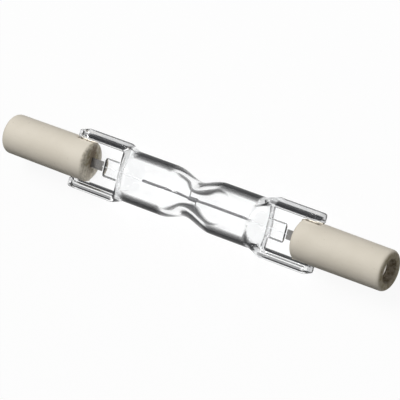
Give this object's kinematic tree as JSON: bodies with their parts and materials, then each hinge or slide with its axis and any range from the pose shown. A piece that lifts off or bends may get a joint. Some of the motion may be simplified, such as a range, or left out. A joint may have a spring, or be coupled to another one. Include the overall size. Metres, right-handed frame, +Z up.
{
  "type": "linear halogen bulb",
  "caption": "Straight clear quartz tube with a pinched waist, flat pressed seals and beige ceramic end caps with recessed contacts; gives light from a coiled wire held between end sockets.",
  "frame": {"origin": "middle of the lamp, on the tube's axis", "axes": "+X along the tube, XY the plane of the flat seals with +Y towards one edge rail, +Z up and square to the seals"},
  "size_m": [0.0782, 0.0104, 0.009],
  "materials": {
    "quartz": "clear fused quartz",
    "tungsten": "dull drawn tungsten wire",
    "molybdenum": "dull rolled molybdenum",
    "steatite": "unglazed, fine-grained, beige",
    "contact_metal": "nickel-plated, satin",
    "cement": "matte, gritty"
  },
  "bodies": {
    "root": {"quartz_envelope": "quartz", "filament": "tungsten", "filament_support": "tungsten", "foil_left": "molybdenum", "foil_right": "molybdenum", "outer_lead_left": "molybdenum", "outer_lead_right": "molybdenum", "cap_left": "steatite", "cap_right": "steatite", "contact_left": "contact_metal", "contact_right": "contact_metal", "cement_left": "cement", "cement_right": "cement"}
  },
  "joints": []
}
